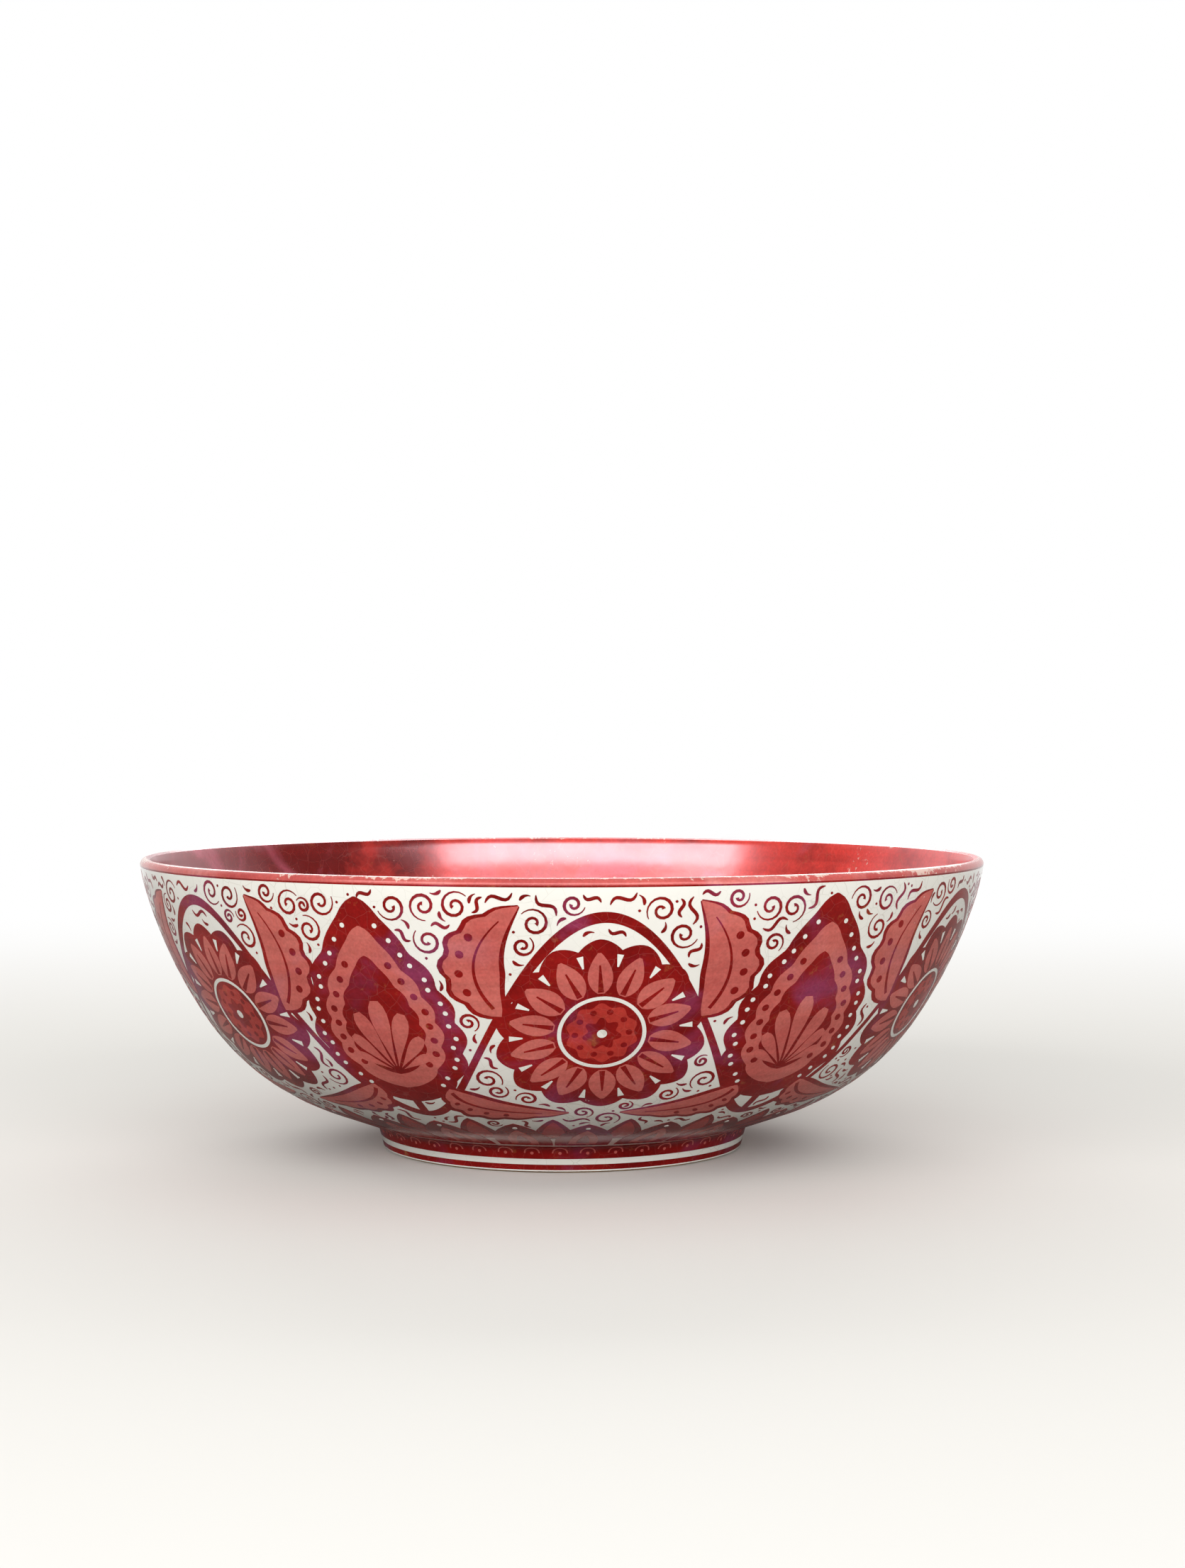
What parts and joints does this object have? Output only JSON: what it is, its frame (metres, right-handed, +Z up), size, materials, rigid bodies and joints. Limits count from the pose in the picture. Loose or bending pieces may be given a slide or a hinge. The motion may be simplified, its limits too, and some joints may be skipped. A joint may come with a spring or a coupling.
{
  "type": "lustreware bowl",
  "caption": "Large round footed earthenware bowl with flaring curved walls, a rounded lip, cream tin glaze, ruby lustre inside and painted lustre bands and ornament outside.",
  "frame": {"origin": "middle of the ring that the foot rests on, on the resting plane", "axes": "+Z up along the bowl's axis of turning; X and Y level, -Y towards the viewer of the picture"},
  "size_m": [0.3599, 0.36, 0.125],
  "materials": {
    "clay_body": "bare buff earthenware, matt",
    "tin_glaze": "glossy cream tin glaze with fine crackle",
    "ruby_lustre": "deep ruby copper lustre, mottled, glossy",
    "red_lustre": "worn red copper lustre, glossy"
  },
  "bodies": {
    "root": {"thrown_bowl": "clay_body", "foot_ring": "clay_body", "luting_slip": "clay_body", "outer_glaze": "tin_glaze", "inner_glaze": "tin_glaze", "base_glaze": "tin_glaze", "lustre_lining": "ruby_lustre", "upper_foot_band": "ruby_lustre", "lower_foot_band": "ruby_lustre"}
  },
  "joints": []
}
